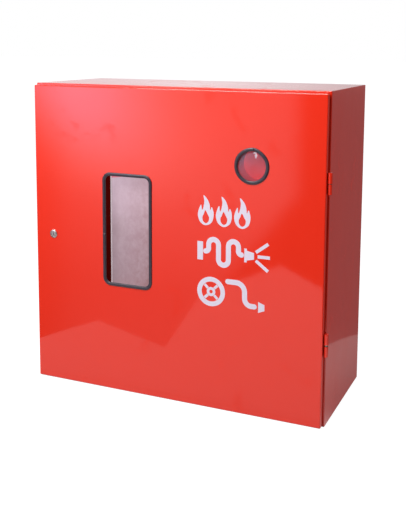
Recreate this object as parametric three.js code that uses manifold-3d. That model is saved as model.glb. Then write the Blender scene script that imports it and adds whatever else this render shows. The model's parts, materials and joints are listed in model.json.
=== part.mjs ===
// Wall cabinet with a fire hose reel inside.
// Millimetres, +Z up.  Origin: centre of the cabinet's underside.
// The door is on the -Y side and its hinges are on the +X side.
import * as THREE from 'three';
import { mergeVertices } from 'three/addons/utils/BufferGeometryUtils.js';
import Module from 'manifold-3d';

const wasm = await Module();
wasm.setup();

// ---------------------------------------------------------------- driving dimensions
const W = 800;                 // cabinet width
const H = 800;                 // cabinet height
const D = 332;                 // cabinet body depth, without the door
const T = 1.5;                 // sheet thickness
const LIP = 28;                // width of the frame folded in around the door opening
const FOLD = 2.5;              // outer radius of a sheet fold
const GAP = 0.3;               // assembly clearance between neighbouring pieces

const DOOR_X0 = -395.5;        // door edges
const DOOR_X1 = 396;
const DOOR_Z0 = 2.4;
const DOOR_Z1 = 795;
const DOOR_DEPTH = 15;         // depth of the door's folded edge
const DOOR_OFF = 3;            // gap between the door's edge and the cabinet's frame

const WIN_X = -120.5;          // rectangular window, centre
const WIN_Z = 430;
const WIN_W = 124.5;            // clear opening inside the rubber
const WIN_H = 278.5;
const WIN_R = 13;              // its corner radius
const SEAL_W = 8.75;           // visible width of the rubber
const BOX_DEPTH = 30.5;        // depth of the recess behind the rectangular window

const ROUND_X = 215;           // round window, centre
const ROUND_Z = 618.5;
const ROUND_R = 35.5;          // clear opening inside the rubber
const CUP_R = 39.5;            // inside radius of the key cup behind it
const CUP_DEPTH = 50;

const LOCK_X = -342.8;         // cam lock, centre
const LOCK_Z = 401.5;

const HINGE_X = 402;           // hinge axis
const HINGE_Y = -172;
const DOOR_KNUCKLE_R = 5.6;     // upper half, rolled and crimped
const BODY_KNUCKLE_R = 5.0;     // lower half, holds the pin
const PIN_R = 2.4;
// bottom, parting, top and half the parting's gap
const HINGES = { upper: [563.5, 588.2, 614.5, 0.9], lower: [177.5, 204.6, 232.5, 2.3] };

const REEL_X = -30;            // reel axis, along Y
const REEL_Z = 392;
const DISC_R = 250;            // side disc radius
const CORE_R = 100;            // drum core radius
const DRUM_Y0 = -98.5;         // inner faces of the two discs
const DRUM_Y1 = 64.5;
const SPINDLE_R = 20;
const HUB_R = 34;

const PIPE_R = 16.85;          // one-inch water pipe
const PIPE_BORE = 13.5;
const PIPE_Y = 120;
const PIPE_Z = 150;
const VALVE_X = -240;

const YF = -D / 2;             // front edge of the cabinet body
const YB = D / 2;              // back of the cabinet
const DOOR_BACK = YF - DOOR_OFF;
const DOOR_FACE = DOOR_BACK - DOOR_DEPTH;
const SKIN_IN = DOOR_FACE + T; // inner face of the door sheet

// ---------------------------------------------------------------- helpers
function tidy(g) {
  let b = g.clone();
  b.deleteAttribute('normal');
  b.deleteAttribute('uv');
  b.morphAttributes = {};
  b.clearGroups();
  b = mergeVertices(b, 1e-4);
  const p = b.getAttribute('position');
  const i = b.getIndex().array;
  const keep = [];
  let vol = 0;
  for (let k = 0; k < i.length; k += 3) {
    const a = i[k], c = i[k + 1], d = i[k + 2];
    if (a === c || c === d || a === d) continue;
    keep.push(a, c, d);
    const A = new THREE.Vector3().fromBufferAttribute(p, a);
    const B = new THREE.Vector3().fromBufferAttribute(p, c);
    const C = new THREE.Vector3().fromBufferAttribute(p, d);
    vol += A.dot(B.cross(C));
  }
  if (vol < 0) for (let k = 0; k < keep.length; k += 3) { const s = keep[k + 1]; keep[k + 1] = keep[k + 2]; keep[k + 2] = s; }
  b.setIndex(keep);
  return b;
}

function solid(g) {
  const b = tidy(g);
  return new wasm.Manifold(new wasm.Mesh({
    numProp: 3,
    vertProperties: new Float32Array(b.getAttribute('position').array),
    triVerts: new Uint32Array(b.getIndex().array),
  }));
}

function geo(m) {
  const r = m.getMesh();
  const b = new THREE.BufferGeometry();
  const n = r.vertProperties.length / r.numProp;
  const v = new Float32Array(n * 3);
  for (let k = 0; k < n; k++) for (let c = 0; c < 3; c++) v[k * 3 + c] = r.vertProperties[k * r.numProp + c];
  b.setAttribute('position', new THREE.BufferAttribute(v, 3));
  b.setIndex(Array.from(r.triVerts));
  b.computeVertexNormals();
  return b;
}

const join = (...s) => s.reduce((a, b) => a.add(b));
const cut = (a, ...s) => s.reduce((x, b) => x.subtract(b), a);

function block(x0, x1, y0, y1, z0, z1) {
  const g = new THREE.BoxGeometry(x1 - x0, y1 - y0, z1 - z0);
  g.translate((x0 + x1) / 2, (y0 + y1) / 2, (z0 + z1) / 2);
  return solid(g);
}

function polyShape(pts) {
  return new THREE.Shape(pts.map((q) => new THREE.Vector2(q[0], q[1])));
}

function roundRect(cx, cy, w, h, r, seg = 5) {
  const pts = [];
  const c = [[cx + w / 2 - r, cy + h / 2 - r, 0], [cx - w / 2 + r, cy + h / 2 - r, 90],
    [cx - w / 2 + r, cy - h / 2 + r, 180], [cx + w / 2 - r, cy - h / 2 + r, 270]];
  for (const [x, y, a0] of c) {
    for (let k = 0; k <= seg; k++) {
      const a = (a0 + (90 * k) / seg) * Math.PI / 180;
      pts.push([x + r * Math.cos(a), y + r * Math.sin(a)]);
    }
  }
  return pts;
}

function circle(cx, cy, r, n = 24, a0 = 0) {
  const pts = [];
  for (let k = 0; k < n; k++) {
    const a = a0 + (2 * Math.PI * k) / n;
    pts.push([cx + r * Math.cos(a), cy + r * Math.sin(a)]);
  }
  return pts;
}

const hexagon = (cx, cy, af, a0 = 0) => circle(cx, cy, af / Math.sqrt(3), 6, a0);

function prism(pts, depth, opt = {}) {
  const s = polyShape(pts);
  if (opt.hole) s.holes.push(new THREE.Path(opt.hole.map((q) => new THREE.Vector2(q[0], q[1]))));
  return new THREE.ExtrudeGeometry(s, {
    depth, steps: 1, bevelEnabled: !!opt.bevel, bevelThickness: opt.bevel || 0, bevelSize: opt.bevel || 0,
    bevelOffset: opt.bevel ? -opt.bevel : 0, bevelSegments: opt.bevelSegments || 3,
  });
}

// outline in XZ, pushed along Y from y0 to y1
function alongY(pts, y0, y1, opt = {}) {
  const b = opt.bevel || 0;
  const g = prism(pts, y1 - y0 - 2 * b, opt);
  g.rotateX(Math.PI / 2);
  g.translate(0, y1 - b, 0);
  return solid(g);
}
// outline in XY, pushed along Z
function alongZ(pts, z0, z1, opt = {}) {
  const b = opt.bevel || 0;
  const g = prism(pts, z1 - z0 - 2 * b, opt);
  g.translate(0, 0, z0 + b);
  return solid(g);
}
// outline in YZ, pushed along X
function alongX(pts, x0, x1, opt = {}) {
  const b = opt.bevel || 0;
  const g = prism(pts, x1 - x0 - 2 * b, opt);
  g.applyMatrix4(new THREE.Matrix4().set(0, 0, 1, 0, 1, 0, 0, 0, 0, 1, 0, 0, 0, 0, 0, 1));
  g.translate(x0 + b, 0, 0);
  return solid(g);
}
// profile [radius, position along the axis], turned about an axis through (x, y, z)
function turned(profile, axis, x, y, z, n = 24) {
  const pr = profile.map((q) => new THREE.Vector2(q[0], q[1]));
  const closed = profile[0][0] > 1e-6;
  if (closed) pr.push(pr[0].clone());
  const g = new THREE.LatheGeometry(pr, n);
  if (axis === 'X') g.rotateZ(-Math.PI / 2);
  if (axis === 'Z') g.rotateX(Math.PI / 2);
  g.translate(x, y, z);
  return solid(g);
}
function rod(axis, x, y, z, r, a, b, n = 24) {
  return turned([[0, a], [r, a], [r, b], [0, b]], axis, x, y, z, n);
}
function ring(axis, x, y, z, ri, ro, a, b, n = 24) {
  return turned([[ri, a], [ro, a], [ro, b], [ri, b]], axis, x, y, z, n);
}
function arcPts(cx, cy, r, a0, a1, n) {
  const o = [];
  for (let k = 0; k <= n; k++) {
    const a = (a0 + ((a1 - a0) * k) / n) * Math.PI / 180;
    o.push([cx + r * Math.cos(a), cy + r * Math.sin(a)]);
  }
  return o;
}

// a straight, bent and straight run of pipe, as one curve
class BentPath extends THREE.Curve {
  constructor(a, corner, b, r) {
    super();
    const d0 = corner.clone().sub(a).normalize();
    const d1 = b.clone().sub(corner).normalize();
    const t = r * Math.tan(d0.angleTo(d1) / 2);
    this.a = a; this.b = b;
    this.p0 = corner.clone().addScaledVector(d0, -t);
    this.p1 = corner.clone().addScaledVector(d1, t);
    const n = d1.clone().addScaledVector(d0, -d0.dot(d1)).normalize();
    this.c = this.p0.clone().addScaledVector(n, r);
    this.d0 = d0; this.n = n; this.r = r; this.ang = d0.angleTo(d1);
    this.l0 = this.p0.distanceTo(a); this.l1 = this.ang * r; this.l2 = this.p1.distanceTo(b);
  }
  getPoint(t, o = new THREE.Vector3()) {
    const L = this.l0 + this.l1 + this.l2;
    let s = t * L;
    if (s <= this.l0) return o.copy(this.a).addScaledVector(this.d0, s);
    s -= this.l0;
    if (s <= this.l1) {
      const a = s / this.r;
      return o.copy(this.c).addScaledVector(this.n, -this.r * Math.cos(a)).addScaledVector(this.d0, this.r * Math.sin(a));
    }
    s -= this.l1;
    return o.copy(this.b).addScaledVector(this.b.clone().sub(this.p1).normalize(), s - this.l2);
  }
}
function swept(path, ro, ri, steps, n = 20) {
  const s = polyShape(circle(0, 0, ro, n));
  if (ri) s.holes.push(new THREE.Path(circle(0, 0, ri, n).map((q) => new THREE.Vector2(q[0], q[1]))));
  return solid(new THREE.ExtrudeGeometry(s, { steps, bevelEnabled: false, extrudePath: path }));
}

// ---------------------------------------------------------------- materials
const mat = (color, roughness, metalness) => new THREE.MeshStandardMaterial({ color, roughness, metalness });
const red = mat(0xe6332a, 0.35, 0.1);
const zinc = mat(0xb9bcc0, 0.4, 0.9);
const chrome = mat(0xd4d6da, 0.18, 1.0);
const brass = mat(0xb8924a, 0.35, 0.95);
const rubber = mat(0x2a2730, 0.75, 0.0);
const nylon = mat(0xe9e6dc, 0.55, 0.0);
const opal = mat(0xb9a4ab, 0.45, 0.0);
const clear = mat(0xd9c9cf, 0.08, 0.0);
const galv = mat(0x9ea3a6, 0.5, 0.8);
const black = mat(0x1c1c1f, 0.5, 0.0);

const fireHoseReel = new THREE.Group();
function add(name, s, material) {
  const m = new THREE.Mesh(geo(s), material);
  m.name = name;
  fireHoseReel.add(m);
}

// ---------------------------------------------------------------- cabinet body
// Each wall is a folded sheet: the wall, and the strip of the door frame in front of it.
// The four walls meet in mitres at the corners.
function folded(flip) {
  // [distance in from the outer face, depth y]
  const p = [[0, YB], ...arcPts(FOLD, YF + FOLD, FOLD, 180, 270, 4), [LIP, YF], [LIP, YF + T],
    ...arcPts(FOLD, YF + FOLD, FOLD - T, 270, 180, 2), [T, YB]];
  return p.map((q) => flip(q[0], q[1]));
}
const M = 0.2;                 // half of the mitre's gap
const BIG = 60;
function mitreSide(s, sx) {
  // cuts a side wall back to the 45 degree mitre planes at its top and bottom
  const x = (a) => sx * (W / 2 - a);
  const top = [[x(-5), H + 5 - M], [x(BIG), H - BIG - M], [x(BIG), H + 20], [x(-5), H + 20]];
  const bot = [[x(-5), -5 + M], [x(BIG), BIG + M], [x(BIG), -20], [x(-5), -20]];
  return cut(s, alongY(top, YF - 10, YB + 10), alongY(bot, YF - 10, YB + 10));
}
function mitreFlat(s, top) {
  const z = (b) => (top ? H - b : b);
  const l = [[-W / 2 - 5 + M, z(-5)], [-W / 2 + BIG + M, z(BIG)], [-W / 2 - 20, z(BIG)], [-W / 2 - 20, z(-5)]];
  const r = l.map((q) => [-q[0], q[1]]);
  return cut(s, alongY(l, YF - 10, YB + 10), alongY(r, YF - 10, YB + 10));
}
const sideL = alongZ(folded((a, y) => [-W / 2 + a, y]), 0, H);
const sideR = alongZ(folded((a, y) => [W / 2 - a, y]), 0, H);
const pipeHole = rod('X', 0, PIPE_Y, PIPE_Z, 24, -W / 2 - 5, -W / 2 + 10, 24);
add('left_panel', cut(mitreSide(sideL, -1), pipeHole), red);
add('right_panel', mitreSide(sideR, 1), red);
add('top_panel', mitreFlat(alongX(folded((a, y) => [y, H - a]), -W / 2, W / 2), true), red);
add('bottom_panel', mitreFlat(alongX(folded((a, y) => [y, a]), -W / 2, W / 2), false), red);

const BOLT = 95;               // bracket bolt spacing from the reel axis
const boltAt = [[-BOLT, -BOLT], [BOLT, -BOLT], [BOLT, BOLT], [-BOLT, BOLT]].map((q) => [REEL_X + q[0], REEL_Z + q[1]]);
let back = block(-W / 2 + T + GAP, W / 2 - T - GAP, YB - T, YB, T + GAP, H - T - GAP);
for (const [x, z] of [[-340, 60], [340, 60], [340, 740], [-340, 740]]) back = cut(back, rod('Y', x, 0, z, 5.5, YB - 5, YB + 5, 12));
for (const [x, z] of boltAt) back = cut(back, rod('Y', x, 0, z, 5.5, YB - 5, YB + 5, 12));
add('back_panel', back, red);

add('door_bumper_upper', alongY(circle(-386, 700, 6, 20), DOOR_BACK + GAP, YF - GAP), rubber);
add('door_bumper_lower', alongY(circle(-386, 100, 6, 20), DOOR_BACK + GAP, YF - GAP), rubber);

// ---------------------------------------------------------------- hinges
for (const [name, [z0, zs, z1, part]] of Object.entries(HINGES)) {
  const lowTop = zs - part, highBase = zs + part;
  const bore = (a, b) => rod('Z', HINGE_X, HINGE_Y, 0, PIN_R + 0.2, a, b, 24);
  const leafB = block(378, HINGE_X + 2, YF - GAP - 2, YF - GAP, z0, lowTop);
  add(`${name}_hinge_body_leaf`, cut(join(rod('Z', HINGE_X, HINGE_Y, 0, BODY_KNUCKLE_R, z0, lowTop, 24), leafB), bore(z0 - 5, lowTop + 5)), red);
  const leafD = block(380, HINGE_X + 2, DOOR_BACK + GAP, DOOR_BACK + GAP + 2, highBase, z1);
  add(`${name}_hinge_door_leaf`, cut(join(rod('Z', HINGE_X, HINGE_Y, 0, DOOR_KNUCKLE_R, highBase, z1, 24), leafD), bore(highBase - 5, z1 + 5)), red);
  add(`${name}_hinge_pin`, rod('Z', HINGE_X, HINGE_Y, 0, PIN_R, z0 + 2, z1 - 5, 24), zinc);
  add(`${name}_hinge_washer`, ring('Z', HINGE_X, HINGE_Y, 0, PIN_R + 0.3, 4.3, lowTop + GAP, lowTop + GAP + 1.2, 24), brass);
}

// ---------------------------------------------------------------- door
const dw = DOOR_X1 - DOOR_X0, dh = DOOR_Z1 - DOOR_Z0, dcx = (DOOR_X0 + DOOR_X1) / 2, dcz = (DOOR_Z0 + DOOR_Z1) / 2;
let skin = alongY(roundRect(dcx, dcz, dw, dh, 3, 3), DOOR_FACE, DOOR_BACK + 10, { bevel: 2.2 });
skin = cut(skin, block(-500, 500, DOOR_BACK, DOOR_BACK + 40, -50, 900));
skin = cut(skin, alongY(roundRect(dcx, dcz, dw - 2 * T, dh - 2 * T, 1.5, 2), SKIN_IN, DOOR_BACK - T, {}));
skin = cut(skin, block(DOOR_X0 + 14, DOOR_X1 - 14, DOOR_BACK - 5, DOOR_BACK + 5, DOOR_Z0 + 14, DOOR_Z1 - 14));
const winW = WIN_W + 4, winH = WIN_H + 4, winR = WIN_R + 2;
skin = cut(skin, alongY(roundRect(WIN_X, WIN_Z, winW, winH, winR, 4), DOOR_FACE - 5, SKIN_IN + 5));
skin = cut(skin, rod('Y', ROUND_X, 0, ROUND_Z, ROUND_R + 2, DOOR_FACE - 5, SKIN_IN + 5, 36));
skin = cut(skin, rod('Y', LOCK_X, 0, LOCK_Z, 9.6, DOOR_FACE - 5, SKIN_IN + 5, 24));
add('door_skin', skin, red);

// hat section up the middle of the door
const HX = 45;
add('door_stiffener', alongZ([[HX - 22, SKIN_IN + GAP], [HX - 12, SKIN_IN + GAP], [HX - 9, DOOR_BACK - 3.3], [HX + 9, DOOR_BACK - 3.3],
  [HX + 12, SKIN_IN + GAP], [HX + 22, SKIN_IN + GAP], [HX + 22, SKIN_IN + GAP + 1.2], [HX + 13, SKIN_IN + GAP + 1.2],
  [HX + 10, DOOR_BACK - 2.1], [HX - 10, DOOR_BACK - 2.1], [HX - 13, SKIN_IN + GAP + 1.2], [HX - 22, SKIN_IN + GAP + 1.2]], 20, 777), red);

// rectangular window: rubber, recess, pane and its frame
const rr = (w, h, r, n = 4) => roundRect(WIN_X, WIN_Z, w, h, r, n);
const sealFace = alongY(rr(WIN_W + 2 * SEAL_W, WIN_H + 2 * SEAL_W, WIN_R + SEAL_W), DOOR_FACE - 3, DOOR_FACE - GAP, { hole: rr(WIN_W, WIN_H, WIN_R) });
const sealLip = alongY(rr(winW - 0.7, winH - 0.7, winR - 0.35), DOOR_FACE - 1, DOOR_FACE + 8, { hole: rr(WIN_W, WIN_H, WIN_R) });
add('window_seal', join(sealFace, sealLip), rubber);

// the recess is taller than the opening, so its top and bottom lie behind the door sheet
const boxW = winW, boxH = winH + 26, boxR = 4;
const boxBack = SKIN_IN + GAP + BOX_DEPTH - T;
const rivets = { left: WIN_X - boxW / 2 - 10, right: WIN_X + boxW / 2 + 10 };
let box = join(
  alongY(rr(boxW + 2 * T, boxH + 2 * T, boxR + T), SKIN_IN + GAP, boxBack, { hole: rr(boxW, boxH, boxR) }),
  alongY(rr(boxW + 24, boxH + 24, boxR + 9), SKIN_IN + GAP, SKIN_IN + GAP + T, { hole: rr(boxW + 1, boxH + 1, boxR + 0.5) }),
  alongY(rr(boxW + 28, boxH + 28, boxR + 9), boxBack - T, boxBack, { hole: rr(boxW + 1, boxH + 1, boxR + 0.5) }),
);
for (const x of Object.values(rivets)) box = cut(box, rod('Y', x, 0, WIN_Z, 1.9, boxBack - 5, boxBack + 5, 12));
add('window_box', box, red);
const PANE = 3;
const retBase = boxBack + 2 * GAP + PANE;
add('window_pane', alongY(rr(boxW + 10, boxH + 10, boxR + 1), boxBack + GAP, boxBack + GAP + PANE), opal);
let retainer = alongY(rr(boxW + 28, boxH + 28, boxR + 9), retBase, retBase + T, { hole: rr(boxW - 2, boxH - 2, boxR - 1) });
// the frame's rim reaches forward round the pane to the recess flange
retainer = join(retainer, alongY(rr(boxW + 28, boxH + 28, boxR + 9), boxBack + GAP, retBase + 0.5, { hole: rr(boxW + 11.5, boxH + 11.5, boxR + 2) }));
for (const x of Object.values(rivets)) retainer = cut(retainer, rod('Y', x, 0, WIN_Z, 1.9, boxBack - 5, retBase + 5, 12));
add('window_retainer', retainer, galv);
for (const [side, x] of Object.entries(rivets)) {
  add(`retainer_rivet_${side}`, turned([[0, boxBack - T - 1.6], [3, boxBack - T - 1.6], [3, boxBack - T - GAP], [1.6, boxBack - T - GAP],
    [1.6, retBase + T + GAP], [3.4, retBase + T + GAP], [2.4, retBase + T + 1.7], [0, retBase + T + 1.7]], 'Y', x, 0, WIN_Z, 12), zinc);
}

// round window: rubber, pane, and the cup behind it that holds the spare key
add('round_seal', turned([[ROUND_R, DOOR_FACE - 3], [ROUND_R + 8.5, DOOR_FACE - 3], [ROUND_R + 8.5, DOOR_FACE - GAP], [ROUND_R + 1.65, DOOR_FACE - GAP],
  [ROUND_R + 1.65, SKIN_IN], [ROUND_R, SKIN_IN]], 'Y', ROUND_X, 0, ROUND_Z, 36), rubber);
add('round_pane', turned([[0, SKIN_IN + GAP], [ROUND_R + 5, SKIN_IN + GAP], [ROUND_R + 5, SKIN_IN + GAP + PANE], [0, SKIN_IN + GAP + PANE]], 'Y', ROUND_X, 0, ROUND_Z, 36), clear);
const cupY = SKIN_IN + 2 * GAP + PANE;
const cup = turned([[0, cupY + CUP_DEPTH - T], [CUP_R, cupY + CUP_DEPTH - T], [CUP_R, cupY], [CUP_R + 8, cupY], [CUP_R + 8, cupY + T],
  [CUP_R + T, cupY + T], [CUP_R + T, cupY + CUP_DEPTH], [0, cupY + CUP_DEPTH]], 'Y', ROUND_X, 0, ROUND_Z, 36);
add('key_cup', cup, red);
const hookBase = cupY + CUP_DEPTH - T - GAP;
// a bent wire: one leg against the cup's back, one arm forward for the key ring
const hookX = ROUND_X - 8.5, hookZ = ROUND_Z + 26.5;
add('key_hook', join(
  swept(new BentPath(new THREE.Vector3(hookX, hookBase - 2.2, hookZ - 14), new THREE.Vector3(hookX, hookBase - 2.2, hookZ), new THREE.Vector3(hookX, hookBase - 15, hookZ), 3.2), 1.7, 0, 12, 10),
  rod('Y', hookX, 0, hookZ - 8, 3.2, hookBase - 2.4, hookBase, 20),
), chrome);

// cam lock
add('lock_body', cut(join(
  turned([[0, DOOR_FACE - 2.4], [9.4, DOOR_FACE - 2.4], [11, DOOR_FACE - 1.2], [11, DOOR_FACE - GAP], [0, DOOR_FACE - GAP]], 'Y', LOCK_X, 0, LOCK_Z, 24),
  rod('Y', LOCK_X, 0, LOCK_Z, 9.3, DOOR_FACE - 1, DOOR_FACE + 19.5, 24),
), rod('Y', LOCK_X, 0, LOCK_Z, 6.7, DOOR_FACE - 10, DOOR_FACE + 30, 24)), chrome);
add('lock_nut', alongY(hexagon(LOCK_X, LOCK_Z, 25, Math.PI / 6), SKIN_IN + GAP, SKIN_IN + GAP + 5, { hole: circle(LOCK_X, LOCK_Z, 9.7, 24) }), zinc);
const camY = YF + T + 0.8;
add('lock_plug', cut(join(
  rod('Y', LOCK_X, 0, LOCK_Z, 6.3, DOOR_FACE - 2.1, camY - GAP, 24),
  block(LOCK_X - 3.5, LOCK_X + 3.5, camY - 2, camY + 2, LOCK_Z - 3.5, LOCK_Z + 3.5),
),
block(LOCK_X - 1, LOCK_X + 1, DOOR_FACE - 5, DOOR_FACE + 6, LOCK_Z - 4.2, LOCK_Z + 4.2),
rod('Y', LOCK_X, 0, LOCK_Z, 2.3, camY - 8, camY + 10, 16)), chrome);
const camOut = [...arcPts(LOCK_X, LOCK_Z, 8, 0, 180, 8), ...arcPts(LOCK_X, LOCK_Z - 40, 6, 180, 360, 6)];
add('lock_cam', alongY(camOut, camY, camY + 2, { hole: [[LOCK_X - 3.8, LOCK_Z - 3.8], [LOCK_X + 3.8, LOCK_Z - 3.8], [LOCK_X + 3.8, LOCK_Z + 3.8], [LOCK_X - 3.8, LOCK_Z + 3.8]] }), zinc);
add('cam_screw', join(
  alongY(hexagon(LOCK_X, LOCK_Z, 10), camY + 2.3, camY + 5.3),
  rod('Y', LOCK_X, 0, LOCK_Z, 2, camY - 7, camY + 3, 16)), zinc);

// ---------------------------------------------------------------- reel bracket and spindle
const plateY1 = YB - T - GAP, plateY0 = plateY1 - 4;
let bracket = alongY(roundRect(REEL_X, REEL_Z, 240, 240, 14, 3), plateY0, plateY1);
bracket = join(bracket, rod('Y', REEL_X, 0, REEL_Z, 32, 141, plateY0 + 1, 24));
bracket = cut(bracket, rod('Y', REEL_X, 0, REEL_Z, SPINDLE_R + GAP, 130, plateY0 - 2, 24));
for (const [x, z] of boltAt) bracket = cut(bracket, rod('Y', x, 0, z, 5.5, 150, 170, 12));
add('reel_bracket', bracket, galv);
boltAt.forEach(([x, z], k) => add(`bracket_bolt_${k + 1}`, join(
  alongY(hexagon(x, z, 17), plateY0 - 6.8, plateY0 - GAP),
  rod('Y', x, 0, z, 5, plateY0 - 1, YB - 0.2, 12)), zinc));

const outletY = -17;
let spindle = turned([[0, -122], [12, -122], [12, -102.2], [SPINDLE_R, -102.2], [SPINDLE_R, 96], [27, 100], [27, 138], [SPINDLE_R, 140.7],
  [SPINDLE_R, plateY0 - 3], [0, plateY0 - 3]], 'Y', REEL_X, 0, REEL_Z, 24);
spindle = join(spindle, rod('Z', REEL_X, PIPE_Y, REEL_Z, 17, -42, -10, 24));
spindle = cut(spindle, rod('Y', REEL_X, 0, REEL_Z, 13, -50, 132, 24), rod('Z', REEL_X, PIPE_Y, REEL_Z, 13, -50, 0, 24),
  rod('X', REEL_X, outletY, REEL_Z, 6, -30, 30, 16));
add('reel_spindle', spindle, brass);
add('spindle_washer', ring('Y', REEL_X, 0, REEL_Z, 12.4, 31, -105.4, -102.5, 24), zinc);
add('spindle_nut', alongY(hexagon(REEL_X, REEL_Z, 36), -118, -105.7, { hole: circle(REEL_X, REEL_Z, 12.4, 24) }), zinc);

// ---------------------------------------------------------------- drum
const discProfile = (y, s) => [
  [HUB_R + GAP, y], [HUB_R + GAP, y + s * T], [150, y + s * T], [154, y + s * (T + 3)], [176, y + s * (T + 3)], [180, y + s * T],
  [DISC_R - T, y + s * T], [DISC_R - T, y + s * 9], [DISC_R, y + s * 9], [DISC_R, y]];
add('reel_front_disc', turned(discProfile(DRUM_Y0, -1), 'Y', REEL_X, 0, REEL_Z, 36), red);
add('reel_rear_disc', turned(discProfile(DRUM_Y1, 1), 'Y', REEL_X, 0, REEL_Z, 36), red);
add('drum_core', cut(ring('Y', REEL_X, 0, REEL_Z, CORE_R - T, CORE_R, DRUM_Y0 + GAP, DRUM_Y1 - GAP, 36),
  rod('X', REEL_X, outletY, REEL_Z, 14, CORE_R - 20, CORE_R + 20, 20)), red);
add('drum_hub', cut(ring('Y', REEL_X, 0, REEL_Z, 26.3, HUB_R, DRUM_Y0 - 3, DRUM_Y1 + 3, 24),
  rod('X', REEL_X, outletY, REEL_Z, 6.5, 20, 50, 16)), brass);
for (const [name, y0, y1] of [['front_bush', DRUM_Y0 - 2.7, DRUM_Y0 + 12], ['rear_bush', DRUM_Y1 - 12, DRUM_Y1 + 2.7]]) {
  add(name, ring('Y', REEL_X, 0, REEL_Z, SPINDLE_R + 0.3, 26, y0, y1, 24), nylon);
}
add('front_swivel_seal', ring('Y', REEL_X, 0, REEL_Z, SPINDLE_R + 0.3, 26, DRUM_Y0 + 12.3, DRUM_Y0 + 18, 24), rubber);
add('rear_swivel_seal', ring('Y', REEL_X, 0, REEL_Z, SPINDLE_R + 0.3, 26, DRUM_Y1 - 18, DRUM_Y1 - 12.3, 24), rubber);

// hose tail: out of the hub, through the core, and round onto the drum's face
const tail = new BentPath(new THREE.Vector3(REEL_X + HUB_R + 0.8, outletY, REEL_Z), new THREE.Vector3(REEL_X + 122, outletY, REEL_Z), new THREE.Vector3(REEL_X + 122, outletY, REEL_Z + 62), 22);
let outlet = join(swept(tail, 9.5, 0, 12, 12), rod('X', REEL_X, outletY, REEL_Z, 14, HUB_R + 0.6, HUB_R + 6, 16));
for (const h of [34, 46]) outlet = join(outlet, turned([[0, h], [10.6, h], [9, h + 7], [0, h + 7]], 'Z', REEL_X + 122, outletY, REEL_Z, 16));
outlet = cut(outlet, swept(new BentPath(new THREE.Vector3(REEL_X + HUB_R - 5, outletY, REEL_Z), new THREE.Vector3(REEL_X + 122, outletY, REEL_Z), new THREE.Vector3(REEL_X + 122, outletY, REEL_Z + 70), 22), 6.5, 0, 12, 10));
add('hose_outlet', outlet, brass);

// ---------------------------------------------------------------- water feed and stop valve
add('pipe_grommet', join(
  ring('X', 0, PIPE_Y, PIPE_Z, PIPE_R + GAP, 23.7, -W / 2, -W / 2 + T + 1, 24),
  ring('X', 0, PIPE_Y, PIPE_Z, PIPE_R + GAP, 30, -W / 2 + T + GAP, -W / 2 + T + 4, 24)), rubber);
add('supply_pipe', ring('X', 0, PIPE_Y, PIPE_Z, PIPE_BORE, PIPE_R, -W / 2 + GAP, VALVE_X - 36.3, 24), galv);
const vb = turned([[PIPE_R + GAP, -50], [24, -50], [24, -32], [27, -28], [27, 28], [25, 32], [15.7, 32], [15.7, -16], [11, -19], [11, -36], [PIPE_R + GAP, -36]], 'X', VALVE_X, PIPE_Y, PIPE_Z, 24);
add('valve_body', cut(join(vb, rod('Y', VALVE_X, 0, PIPE_Z, 10.5, PIPE_Y - 36, PIPE_Y - 20, 24)),
  rod('Y', VALVE_X, 0, PIPE_Z, 4.4, PIPE_Y - 45, PIPE_Y - 5, 16), rod('X', VALVE_X, PIPE_Y, PIPE_Z, 15.7, -16, 40, 24)), brass);
add('valve_end_cap', turned([[11, 17], [15.4, 17], [15.4, 32.3], [24, 32.3], [24, 50], [PIPE_R + GAP, 50], [PIPE_R + GAP, 36], [11, 36]], 'X', VALVE_X, PIPE_Y, PIPE_Z, 24), brass);
const ballG = new THREE.SphereGeometry(15, 16, 12);
ballG.translate(VALVE_X, PIPE_Y, PIPE_Z);
add('valve_ball', cut(solid(ballG), rod('Z', VALVE_X, PIPE_Y, PIPE_Z, 10, -20, 20, 24), block(VALVE_X - 6, VALVE_X + 6, PIPE_Y - 16, PIPE_Y - 12.2, PIPE_Z - 2.4, PIPE_Z + 2.4)), chrome);
add('valve_stem', join(rod('Y', VALVE_X, 0, PIPE_Z, 4, PIPE_Y - 50, PIPE_Y - 15.4, 16), block(VALVE_X - 3.2, VALVE_X + 3.2, PIPE_Y - 16, PIPE_Y - 12.6, PIPE_Z - 2.1, PIPE_Z + 2.1)), zinc);
const leverY0 = PIPE_Y - 40.5, leverY1 = PIPE_Y - 37.3;
const leverOut = [...arcPts(VALVE_X, PIPE_Z, 13, -52.5, 232.5, 14), ...arcPts(VALVE_X, PIPE_Z - 105, 8, 180, 360, 8)];
add('valve_lever', alongY(leverOut, leverY0, leverY1, { hole: circle(VALVE_X, PIPE_Z, 4.4, 16) }), galv);
const gripHole = block(VALVE_X - 9.2, VALVE_X + 9.2, leverY0 - GAP, leverY1 + GAP, PIPE_Z - 114, PIPE_Z - 30);
add('lever_grip', cut(alongY([...arcPts(VALVE_X, PIPE_Z - 105, 12.5, 180, 360, 10), [VALVE_X + 12.5, PIPE_Z - 45], [VALVE_X - 12.5, PIPE_Z - 45]], leverY0 - 2.6, leverY1 + 2.6),
  gripHole), black);
add('lever_nut', alongY(hexagon(VALVE_X, PIPE_Z, 13), leverY0 - 5.3, leverY0 - GAP, { hole: circle(VALVE_X, PIPE_Z, 4.4, 16) }), zinc);

add('riser_pipe', swept(new BentPath(new THREE.Vector3(VALVE_X + 36.4, PIPE_Y, PIPE_Z), new THREE.Vector3(REEL_X, PIPE_Y, PIPE_Z), new THREE.Vector3(REEL_X, PIPE_Y, REEL_Z - 43), 50), PIPE_R, PIPE_BORE, 12, 16), galv);
add('union_nut', alongZ(hexagon(REEL_X, PIPE_Y, 36), REEL_Z - 61, REEL_Z - 34, { hole: circle(REEL_X, PIPE_Y, 17.4, 24) }), brass);

export default fireHoseReel;
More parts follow.
